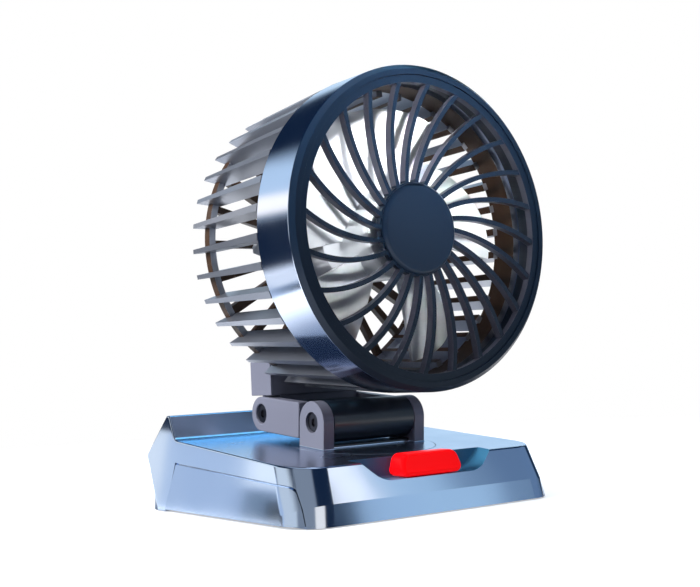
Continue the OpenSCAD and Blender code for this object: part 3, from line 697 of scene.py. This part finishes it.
class FAN_OT_base_shell(bpy.types.Operator):
    """Plated wedge shell with deck, rear lip, bar recess and turntable seat"""

    bl_idname = "fan.base_shell"
    bl_label = "Base shell"

    def execute(self, context):
        place = deck_frame()
        seat = round_block(TABLE_RADIUS + SEAT_GAP, SEAT_FLOOR, 0.02, place)
        boss = round_block(BOSS_HOLE, -0.02, 0.01, place, 48)
        pockets = [panel_block(side, BASE_LO.z - UNDERCUT, POCKET_WALL, 0.0) for side in (-1, 1)]
        shell = carve(base_form(), self.notch(), seat, boss, self.hollow(), self.socket_slot(),
                      *self.pin_holes(), *pockets)
        bmesh.ops.remove_doubles(shell, verts=shell.verts, dist=TINY)
        sharpen(shell, SHELL_SHARP)
        sharpen_crease(shell)
        for face in shell.faces:
            spot = face.calc_center_median()
            # Faces inside the bar recess get the satin with the painted blue light.
            if self.in_notch(spot):
                face.material_index = 1
            elif self.on_deck(spot, face.normal):
                face.material_index = 2
            else:
                face.material_index = 0
        piece = make_piece(shell, "base_shell_skin", "base", "shell_plate", shell_plating(), recess_painted_blue_light(),
                           deck_plating())
        even_shading(piece)
        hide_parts("base_shell")
        return {"FINISHED"}

    def on_deck(self, spot, normal):
        """Whether a face looks up from the deck or the front of the lip."""
        s = sizes()
        lip_back = BASE_HI.y - s.lip_foot + LIP_RISE_RUN + 0.0002
        return spot.z > s.deck_front and normal.z > 0.55 and spot.y < lip_back

    def in_notch(self, spot):
        """Whether a face lies inside the bar recess."""
        depth = spot.y - BASE_LO.y
        inside = abs(spot.x) < NOTCH_HALF - 0.0005 and NOTCH_FRONT < depth < NOTCH_BACK + 0.0003
        return inside and NOTCH_LOW - 0.0001 < spot.z < deck_height(spot.y) - 0.0004

    def pin_holes(self):
        """Cutters of the holes for the stem and the guide pins."""
        along = Matrix.Translation((0, BASE_LO.y, STEM_UP)) @ Matrix.Rotation(-math.pi / 2, 4, "X")
        return [round_block(radius + PIN_GAP, 0.009, 0.020, Matrix.Translation((x, 0, 0)) @ along, 24)
                for x, radius in PINS]

    def notch(self):
        """Cutter of the recess for the push bar, with a scooped foot."""
        before = 0.008
        outline = [
            (-NOTCH_FOOT_HALF, NOTCH_LOW),
            (NOTCH_FOOT_HALF, NOTCH_LOW),
            (NOTCH_HALF, NOTCH_BEND),
            (NOTCH_HALF, NOTCH_HIGH),
            (-NOTCH_HALF, NOTCH_HIGH),
            (-NOTCH_HALF, NOTCH_BEND),
        ]
        bm = bmesh.new()
        bm.faces.new([bm.verts.new((x, BASE_LO.y - before, z)) for x, z in outline])
        draw_out(bm, (0, NOTCH_BACK + before, 0))
        scoop = [e for e in bm.edges if all(v.co.z < NOTCH_LOW + TINY for v in e.verts)
                 and abs(e.verts[0].co.x - e.verts[1].co.x) < TINY]
        bevel(bm, scoop, SCOOP_RADIUS, 8, clamp=False)
        heel = [e for e in bm.edges if all(v.co.y > BASE_LO.y + NOTCH_BACK - 0.001 for v in e.verts)
                and max(v.co.z for v in e.verts) < NOTCH_BEND + 0.0001]
        bevel(bm, heel, HEEL_RADIUS, 3)
        return bm

    def hollow(self):
        """Cutter of the space for board and cover under the deck."""
        front = BASE_LO.y + HOLLOW_FRONT
        rear = BASE_HI.y - HOLLOW_REAR
        below = BASE_LO.z - UNDERCUT
        lip = BASE_HI.y - sizes().lip_foot
        outline = [
            (front, below),
            (front, deck_height(front) - DECK_WALL),
            (lip, deck_height(lip) - DECK_WALL),
            (rear, HOLLOW_REAR_TOP),
            (rear, below),
        ]
        return prism(outline, HOLLOW_HALF)

    def socket_slot(self):
        """Cutter of the slot around the power socket."""
        half = (SOCKET_HI.z - SOCKET_LO.z) / 2 + SOCKET_GAP
        reach = Vector((SOCKET_HI.x - SOCKET_LO.x + 2 * SOCKET_GAP, 0.03, 2 * half))
        middle = Vector((0, SOCKET_HI.y, (SOCKET_LO.z + SOCKET_HI.z) / 2))
        bm = bmesh.new()
        bmesh.ops.create_cube(bm, size=1.0)
        bmesh.ops.scale(bm, vec=reach, verts=bm.verts)
        bmesh.ops.translate(bm, vec=middle, verts=bm.verts)
        ends = [e for e in bm.edges if abs(e.verts[0].co.y - e.verts[1].co.y) > 0.01]
        bevel(bm, ends, half * 0.98, 8, clamp=False)
        return bm


class FAN_OT_side_panels(bpy.types.Operator):
    """Panels let into the lower sides, with a turned-in front end"""

    bl_idname = "fan.side_panels"
    bl_label = "Side panels"

    def execute(self, context):
        self.panel("side_panel_left", -1)
        self.panel("side_panel_right", 1)
        return {"FINISHED"}

    def panel(self, node, side):
        """One panel: the part of the base form inside the seam."""
        block = panel_block(side, BASE_LO.z + PANEL_GAP, POCKET_WALL + POCKET_SLACK, PANEL_GAP)
        bm = carve(base_form(), block, keep="INTERSECT")
        bmesh.ops.remove_doubles(bm, verts=bm.verts, dist=TINY)
        sharpen(bm, SHELL_SHARP)
        sharpen_crease(bm)
        piece = make_piece(bm, node + "_skin", "base", "panel_plate", panel_plating())
        even_shading(piece)
        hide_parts(node)


class FAN_OT_push_bar(bpy.types.Operator):
    """Red push bar with soft edges"""

    bl_idname = "fan.push_bar"
    bl_label = "Push bar"

    def execute(self, context):
        bm = self.bar()
        for x, radius in PINS:
            self.stem(bm, x, radius)
        sharpen(bm, SHARP)
        piece = make_piece(bm, "push_bar_skin", "button", "bar_red", bar_plastic_painted_glow())
        even_shading(piece)
        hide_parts("push_bar")
        return {"FINISHED"}

    def bar(self):
        """Bar with a leaning front and rounded ends."""
        low = BAR_LO.z
        high = BAR_HI.z
        back = BAR_LO.y + BAR_DEEP
        foot = BAR_HI.x
        crown = foot - BAR_DRAW
        outline = [(-foot, low), (foot, low), (crown, high), (-crown, high)]
        bm = bmesh.new()
        corners = [bm.verts.new((x, back, z)) for x, z in outline]
        bm.faces.new(corners)
        round_corners(bm, corners[:2], BAR_FOOT_RADIUS, 8)
        round_corners(bm, [v for v in bm.verts if v.co.z > high - TINY], BAR_TOP_RADIUS, 6)
        moved = draw_out(bm, (0, -BAR_DEEP, 0))
        for v in moved:
            v.co.y += BAR_LEAN * (v.co.z - low) / (high - low)
        front = set(moved)
        rim = [e for e in bm.edges if all(v in front for v in e.verts)]
        bevel(bm, rim, BAR_FRONT_RADIUS, 6)
        return bm

    def stem(self, bm, x, radius):
        """Pin behind the bar that runs through the wall of the recess."""
        start = BAR_LO.y + BAR_DEEP - 0.0005
        middle = Matrix.Translation((x, (start + BAR_HI.y) / 2, STEM_UP))
        bmesh.ops.create_cone(bm, cap_ends=True, segments=24, radius1=radius, radius2=radius,
                              depth=BAR_HI.y - start, matrix=middle @ Matrix.Rotation(math.pi / 2, 4, "X"))


class FAN_OT_hinge(bpy.types.Operator):
    """Turntable, ears, link, cheeks, pins and neck"""

    bl_idname = "fan.hinge"
    bl_label = "Hinge"

    def execute(self, context):
        edge = sizes().hinge_edge
        table = soft_copy("turntable", "turntable_skin", "table", "hinge_grey", edge * 0.6, 2,
                          hinge_paint(), deck_plating(), barrel_plastic())
        self.plate_table_and_paint_shadow(table)
        soft_copy("link_body", "link_skin", "link", "link_dark", edge, 3, barrel_plastic())
        soft_copy("cheek_left", "cheek_left_skin", "link", "hinge_grey", edge, 3, hinge_paint())
        soft_copy("cheek_right", "cheek_right_skin", "link", "hinge_grey", edge, 3, hinge_paint())
        soft_copy("neck", "neck_skin", "head", "hinge_grey", edge, 3, hinge_paint())
        for node in ("front_pin", "rear_pin", "front_nut", "rear_nut"):
            dress_node(node, dark_steel())
        dress_node("turntable_ring", bright_steel())
        return {"FINISHED"}

    def plate_table_and_paint_shadow(self, table):
        """Plates the disc of the turntable like the deck and paints the shadow under the barrel on the sill
        between the ears with the dark barrel plastic.
        """
        place = deck_frame().inverted()
        for polygon in table.data.polygons:
            spot = place @ polygon.center
            if spot.z < PLATE_TOP:
                polygon.material_index = 1
            # painted shadow under the barrel
            elif abs(spot.x) < SHADOW_SILL_HALF and spot.z < SHADOW_SILL_TOP:
                polygon.material_index = 2


class FAN_OT_drum(bpy.types.Operator):
    """Fin cage, front band, grille, caps, motor mount and rear ribs"""

    bl_idname = "fan.drum"
    bl_label = "Drum"

    def execute(self, context):
        edge = sizes().head_edge
        cage = soft_copy("fin_cage", "fin_cage_skin", "head", "cage_grey", edge * 0.5, 2,
                         cage_paint(), drum_painted_shade())
        self.paint_cage_shade(cage)
        soft_copy("front_band", "front_band_skin", "head", "band_plate", edge, 2, band_plating())
        grille = soft_copy("front_grille", "front_grille_skin", "head", "grille_navy", edge, 3,
                           grille_plastic(), flank_painted_highlight())
        self.paint_flank_highlight(grille)
        soft_copy("hub_cap", "hub_cap_skin", "head", "grille_navy", edge * 2, 4, grille_plastic())
        soft_copy("rear_cap", "rear_cap_skin", "head", "hinge_grey", edge, 3, hinge_paint())
        mount = soft_copy("motor_mount", "motor_mount_skin", "head", "cage_grey", edge * 0.5, 2,
                          cage_paint(), drum_painted_shade())
        self.shade_front(mount)
        self.ribs()
        dress_node("motor", bright_steel())
        dress_node("motor_screws", bright_steel())
        return {"FINISHED"}

    def off_axis(self, place):
        """How a place lies from the fan's axis, square to it."""
        return Vector((place.x - AXIS.x, 0.0, place.z - AXIS.z))

    def paint_cage_shade(self, cage):
        """Paints shade on the inside of the sleeve and the hoop with the dark brown satin."""
        square_on = 0.8
        hoop_front = CAGE_REAR - HOOP_FRONT
        for polygon in cage.data.polygons:
            out = self.off_axis(polygon.center)
            facing = polygon.normal.dot(out.normalized())
            sleeve = facing < -square_on and out.length > SLEEVE_INSIDE
            rear = out.length < HOOP_OUTSIDE and polygon.center.y > hoop_front
            if sleeve or (rear and abs(facing) > square_on):
                polygon.material_index = 1

    def ribs(self):
        """Slim radial ribs at the rear, between the six arms of the motor mount."""
        middle = Matrix.Translation((AXIS.x, CAGE_REAR - RIB_FRONT + RIB_DEEP / 2, AXIS.z))
        outwards = Matrix.Translation(((RIB_INNER + RIB_OUTER) / 2, 0, 0))
        shape = Matrix.Diagonal((RIB_OUTER - RIB_INNER, RIB_DEEP, RIB_THICK, 1.0))
        bm = bmesh.new()
        for step in range(RIB_COUNT):
            if step % RIBS_PER_ARM == FIRST_ARM:
                continue
            turn = Matrix.Rotation(math.tau * step / RIB_COUNT, 4, "Y")
            bmesh.ops.create_cube(bm, size=1.0, matrix=middle @ turn @ outwards @ shape)
        bevel(bm, bm.edges, RIB_EDGE, 2)
        ribs = make_piece(bm, "rear_ribs", "head", "cage_grey", cage_paint(), drum_painted_shade())
        self.shade_front(ribs)
        even_shading(ribs)

    def shade_front(self, piece):
        """Paints shade on the front and the flanks of the rear arms and ribs with the dark brown satin."""
        for polygon in piece.data.polygons:
            if polygon.normal.y < 0.5 and self.off_axis(polygon.center).length > MOUNT_RADIUS:
                polygon.material_index = 1

    def paint_flank_highlight(self, grille):
        """Paints a highlight on the flanks of the spokes and the inner wall of the rim with a lighter
        satin.
        """
        for polygon in grille.data.polygons:
            radius = self.off_axis(polygon.center).length
            if abs(polygon.normal.y) < 0.5 and SPOKE_ROOT < radius < RIM_INSIDE:
                polygon.material_index = 1


class FAN_OT_impeller(bpy.types.Operator):
    """White impeller with its shaft and lock ring"""

    bl_idname = "fan.impeller"
    bl_label = "Impeller"

    def execute(self, context):
        soft_copy("impeller", "impeller_skin", "rotor", "blade_white", BLADE_EDGE, 2, blade_plastic())
        dress_node("motor_shaft", bright_steel())
        dress_node("shaft_lock", lock_brass())
        return {"FINISHED"}


class FAN_OT_underside(bpy.types.Operator):
    """Finishes of cover, pad, screws, board, switch and socket"""

    bl_idname = "fan.underside"
    bl_label = "Underside"

    def execute(self, context):
        dress_node("bottom_cover", cover_plastic())
        dress_node("grip_pad", pad_rubber())
        dress_node("cover_screws", bright_steel())
        dress_node("circuit_board", board_lacquer())
        dress_node("push_switch", cover_plastic())
        dress_node("power_socket", bright_steel())
        return {"FINISHED"}


def stage_piece(bm, name, material):
    """Turns a bmesh into an object of the stage."""
    mesh = bpy.data.meshes.new(name)
    bm.to_mesh(mesh)
    bm.free()
    mesh.materials.append(material)
    piece = bpy.data.objects.new(name, mesh)
    bpy.context.scene.collection.objects.link(piece)
    piece.visible_diffuse = False
    return piece


class FAN_OT_stage(bpy.types.Operator):
    """Pale floor, soft studio light and the camera"""

    bl_idname = "fan.stage"
    bl_label = "Stage"

    def execute(self, context):
        self.floor()
        self.surroundings()
        self.lamps()
        self.cards()
        self.camera()
        context.scene.view_settings.view_transform = "Standard"
        return {"FINISHED"}

    def floor(self):
        """Pale disc under the fan."""
        bm = bmesh.new()
        bmesh.ops.create_circle(bm, cap_ends=True, segments=96, radius=0.6)
        stage_piece(bm, "floor", self.floor_paint())

    def floor_paint(self):
        """Pale paint that fades out at the rim, with a painted shadow that dims it close to the fan in
        reflections.
        """
        pale = bpy.data.materials.new("Pale floor")
        pale.use_nodes = True
        nodes = pale.node_tree.nodes
        links = pale.node_tree.links
        shader = nodes["Principled BSDF"]
        shader.inputs["Roughness"].default_value = 0.7
        shader.inputs["Emission Color"].default_value = (0.96, 0.98, 1.0, 1.0)
        coord = nodes.new("ShaderNodeTexCoord")
        reach = nodes.new("ShaderNodeVectorMath")
        reach.operation = "LENGTH"
        fade = ramp(nodes, 0.20, 0.55, 1.0, 0.0, smooth=True)
        links.new(coord.outputs["Object"], reach.inputs[0])
        links.new(reach.outputs["Value"], fade.inputs["Value"])
        links.new(fade.outputs["Result"], shader.inputs["Alpha"])
        path = nodes.new("ShaderNodeLightPath")
        # Painted shadow: dark close to the fan for all but camera rays
        painted_floor_shadow = ramp(nodes, 0.065, 0.155, 0.0, 1.0, smooth=True)
        open_floor = math_step(nodes, "MAXIMUM")
        links.new(reach.outputs["Value"], painted_floor_shadow.inputs["Value"])
        links.new(path.outputs["Is Camera Ray"], open_floor.inputs[0])
        links.new(painted_floor_shadow.outputs["Result"], open_floor.inputs[1])
        tone = colour_mix(nodes)
        tone.inputs["A"].default_value = (0.16, 0.20, 0.27, 1.0)
        tone.inputs["B"].default_value = (0.90, 0.91, 0.93, 1.0)
        links.new(open_floor.outputs[0], tone.inputs["Factor"])
        links.new(tone.outputs["Result"], shader.inputs["Base Color"])
        shed = ramp(nodes, 0.0, 1.0, 0.05, 0.45)
        links.new(open_floor.outputs[0], shed.inputs["Value"])
        links.new(shed.outputs["Result"], shader.inputs["Emission Strength"])
        return pale

    def surroundings(self):
        """White to the camera, a dark studio with soft glows to everything else."""
        world = bpy.data.worlds.new("Studio")
        bpy.context.scene.world = world
        world.use_nodes = True
        nodes = world.node_tree.nodes
        links = world.node_tree.links
        nodes.clear()
        leave = nodes.new("ShaderNodeOutputWorld")
        choose = nodes.new("ShaderNodeMixShader")
        path = nodes.new("ShaderNodeLightPath")
        seen = nodes.new("ShaderNodeBackground")
        seen.inputs["Color"].default_value = (1.0, 1.0, 1.0, 1.0)
        soft = nodes.new("ShaderNodeBackground")
        links.new(self.glow_colour(world), soft.inputs["Color"])
        dimmed = ramp(nodes, 0.0, 1.0, 1.0, 0.45)
        links.new(path.outputs["Is Diffuse Ray"], dimmed.inputs["Value"])
        links.new(dimmed.outputs["Result"], soft.inputs["Strength"])
        links.new(path.outputs["Is Camera Ray"], choose.inputs["Fac"])
        links.new(soft.outputs["Background"], choose.inputs[1])
        links.new(seen.outputs["Background"], choose.inputs[2])
        links.new(choose.outputs["Shader"], leave.inputs["Surface"])

    def glow_colour(self, world):
        """Colour of the studio: each soft glow laid over the dark and over the glows before it."""
        nodes = world.node_tree.nodes
        links = world.node_tree.links
        coord = nodes.new("ShaderNodeTexCoord")
        split = nodes.new("ShaderNodeSeparateXYZ")
        raised = math_step(nodes, "ARCSINE")
        links.new(coord.outputs["Generated"], split.inputs["Vector"])
        links.new(split.outputs["Z"], raised.inputs[0])
        colour = None
        for bearing, height, wide, tall, blur, tint in self.glows():
            turned = nodes.new("ShaderNodeVectorRotate")
            turned.rotation_type = "Z_AXIS"
            turned.inputs["Angle"].default_value = math.radians(bearing)
            part = nodes.new("ShaderNodeSeparateXYZ")
            aside = math_step(nodes, "ARCTAN2")
            links.new(coord.outputs["Generated"], turned.inputs["Vector"])
            links.new(turned.outputs["Vector"], part.inputs["Vector"])
            links.new(part.outputs["X"], aside.inputs[0])
            links.new(part.outputs["Y"], aside.inputs[1])
            share = math_step(nodes, "MULTIPLY")
            links.new(self.falloff(world, aside.outputs[0], 0.0, wide, blur), share.inputs[0])
            links.new(self.falloff(world, raised.outputs[0], height, tall, blur), share.inputs[1])
            blend = colour_mix(nodes)
            blend.inputs["B"].default_value = (*tint, 1.0)
            links.new(share.outputs[0], blend.inputs["Factor"])
            if colour:
                links.new(colour, blend.inputs["A"])
            else:
                blend.inputs["A"].default_value = (0.008, 0.020, 0.048, 1.0)
            colour = blend.outputs["Result"]
        return colour

    def glows(self):
        """Soft glows: bearing, height, half width, half height and blur in degrees, then colour."""
        return [
            (0, 90, 180, 26, 8, (0.55, 0.62, 0.75)),
            (0, -90, 180, 70, 8, (0.75, 0.78, 0.83)),
            (-31, 22, 17, 10, 10, (0.70, 0.88, 1.05)),
            (-34, 15.5, 14, 3.5, 3.5, (1.7, 1.55, 1.40)),
            (40, 14, 22, 15, 6, (0.66, 0.86, 1.05)),
            (-76, 12, 32, 13, 8, (0.75, 0.79, 0.83)),
            (-130, 27, 30, 24, 8, (0.26, 0.29, 0.34)),
            (-170, 14, 15, 7, 4, (1.1, 1.0, 0.92)),
            (110, 16, 24, 14, 8, (0.15, 0.23, 0.36)),
            (80, 60, 20, 10, 8, (0.40, 1.15, 1.85)),
            (36, 39, 12, 7, 6, (0.05, 0.22, 0.45)),
        ]

    def falloff(self, world, value, middle, half, blur):
        """One inside a half width around a middle angle, easing to nothing over the blur."""
        nodes = world.node_tree.nodes
        links = world.node_tree.links
        apart = math_step(nodes, "SUBTRACT")
        apart.inputs[1].default_value = math.radians(middle)
        size = math_step(nodes, "ABSOLUTE")
        inner = math.radians(half - blur / 2)
        outer = math.radians(half + blur / 2)
        ease = ramp(nodes, inner, outer, 1.0, 0.0, smooth=True)
        links.new(value, apart.inputs[0])
        links.new(apart.outputs[0], size.inputs[0])
        links.new(size.outputs[0], ease.inputs["Value"])
        return ease.outputs["Result"]

    def lamp(self, name, bearing, height, distance, size, watts, aim=(0.0, -0.01, 0.06),
             spread=180.0):
        """A soft box on a bearing clockwise from +Y, aimed at the fan."""
        light = bpy.data.lights.new(name, "AREA")
        light.shape = "SQUARE"
        light.size = size
        light.energy = watts
        light.spread = math.radians(spread)
        lamp = bpy.data.objects.new(name, light)
        bpy.context.scene.collection.objects.link(lamp)
        lamp.visible_camera = False
        lamp.visible_glossy = False
        aside = math.radians(bearing)
        up = math.radians(height)
        level = math.cos(up)
        out = Vector((math.sin(aside) * level, math.cos(aside) * level, math.sin(up)))
        lamp.location = Vector(aim) + out * distance
        lamp.rotation_mode = "QUATERNION"
        lamp.rotation_quaternion = out.to_track_quat("Z", "Y")

    def lamps(self):
        """Soft boxes: bearing and height in degrees, distance and size in metres, then watts."""
        self.lamp("top_soft", 0, 84, 1.1, 0.9, 9.0)
        self.lamp("left_key", -80, 26, 0.9, 0.5, 14.0)
        self.lamp("right_fill", 112, 34, 1.0, 0.5, 1.2)
        self.lamp("rear_fill", 14, 24, 1.2, 0.7, 5.0, aim=(0.0, 0.02, 0.08))
        self.lamp("drum_light", -160, 12, 0.8, 0.08, 0.07, aim=(0.0, -0.05, 0.135), spread=8.0)

    def card(self, name, place, facing, width, tall, tint):
        """A glowing card close by that only shows in glossy faces."""
        bm = bmesh.new()
        bmesh.ops.create_grid(bm, x_segments=1, y_segments=1, size=0.5)
        bmesh.ops.scale(bm, vec=(width, tall, 1.0), verts=bm.verts)
        aside = math.radians(facing)
        out = Vector((math.sin(aside), math.cos(aside), 0.0))
        turn = out.to_track_quat("Z", "Y").to_matrix().to_4x4()
        bmesh.ops.transform(bm, matrix=Matrix.Translation(place) @ turn, verts=bm.verts)
        paint = bpy.data.materials.new(name)
        paint.use_nodes = True
        shader = paint.node_tree.nodes["Principled BSDF"]
        shader.inputs["Base Color"].default_value = (0.0, 0.0, 0.0, 1.0)
        shader.inputs["Specular IOR Level"].default_value = 0.0
        shader.inputs["Emission Color"].default_value = (*tint, 1.0)
        shader.inputs["Emission Strength"].default_value = 1.0
        board = stage_piece(bm, name, paint)
        board.visible_camera = False
        board.visible_shadow = False

    def cards(self):
        """Cards that the plating mirrors: middle, bearing, width, height and colour."""
        self.card("card_front", (0.179, -0.245, 0.115), 0, 0.057, 0.23, (0.46, 0.63, 0.80))
        self.card("card_right", (0.2255, -0.245, 0.115), 0, 0.036, 0.23, (0.20, 0.29, 0.41))
        self.card("card_low", (0.1293, -0.245, 0.038), 0, 0.0425, 0.078, (0.44, 0.60, 0.78))
        self.card("card_white", (0.1335, -0.245, 0.150), 0, 0.033, 0.14, (1.36, 1.31, 1.32))
        self.card("card_left_near", (-0.1524, 0.1191, 0.0260), 150, 0.0384, 0.021, (1.10, 1.13, 1.17))
        self.card("card_left_low", (-0.1437, 0.1219, 0.0065), 150, 0.018, 0.014, (0.24, 0.31, 0.40))
        self.card("card_left_far", (-0.0882, 0.1562, 0.0165), 150, 0.0346, 0.037, (0.95, 0.98, 1.02))
        self.card("card_left", (-0.1270, 0.1350, 0.0165), 150, 0.22, 0.037, (0.55, 0.66, 0.84))
        self.card("card_dark", (-0.1720, 0.1044, 0.0045), 150, 0.0615, 0.011, (0.0, 0.004, 0.006))

    def camera(self):
        """Camera at the photograph's angle, with its small roll."""
        data = bpy.data.cameras.new("view")
        data.sensor_width = 36.0
        data.sensor_fit = "HORIZONTAL"
        data.lens = 61.498
        data.clip_start = 0.01
        data.clip_end = 20.0
        cam = bpy.data.objects.new("view", data)
        bpy.context.scene.collection.objects.link(cam)
        heading = math.radians(36.3895)
        pitch = math.radians(3.585)
        roll = math.radians(-2.7187)
        place = Matrix.Translation((-0.252696, -0.352217, 0.048003))
        turn = Matrix.Rotation(-heading, 4, "Z") @ Matrix.Rotation(math.pi / 2 + pitch, 4, "X")
        cam.matrix_world = place @ turn @ Matrix.Rotation(roll, 4, "Z")
        bpy.context.scene.camera = cam


class FAN_PT_panel(bpy.types.Panel):
    """Sidebar panel with the steps of the fan"""

    bl_idname = "FAN_PT_panel"
    bl_label = "Desk Fan"
    bl_space_type = "VIEW_3D"
    bl_region_type = "UI"
    bl_category = "Desk Fan"

    def draw(self, context):
        """Lists the steps in their order."""
        for step in STEPS:
            self.layout.operator(step.bl_idname)


STEPS = (FAN_OT_base_shell, FAN_OT_side_panels, FAN_OT_push_bar, FAN_OT_hinge, FAN_OT_drum,
         FAN_OT_impeller, FAN_OT_underside, FAN_OT_stage)
CLASSES = (FanSizes, FanColours, *STEPS, FAN_PT_panel)


def register():
    """Registers the classes and keeps sizes and colours on the scene."""
    for cls in CLASSES:
        bpy.utils.register_class(cls)
    bpy.types.Scene.fan_sizes = bpy.props.PointerProperty(type=FanSizes)
    bpy.types.Scene.fan_colours = bpy.props.PointerProperty(type=FanColours)


def unregister():
    """Takes back what register did."""
    del bpy.types.Scene.fan_colours
    del bpy.types.Scene.fan_sizes
    for cls in reversed(CLASSES):
        bpy.utils.unregister_class(cls)


def main():
    """Builds the fan and its stage."""
    register()
    bpy.ops.fan.base_shell()
    bpy.ops.fan.side_panels()
    bpy.ops.fan.push_bar()
    bpy.ops.fan.hinge()
    bpy.ops.fan.drum()
    bpy.ops.fan.impeller()
    bpy.ops.fan.underside()
    bpy.ops.fan.stage()


if __name__ == "__main__":
    main()
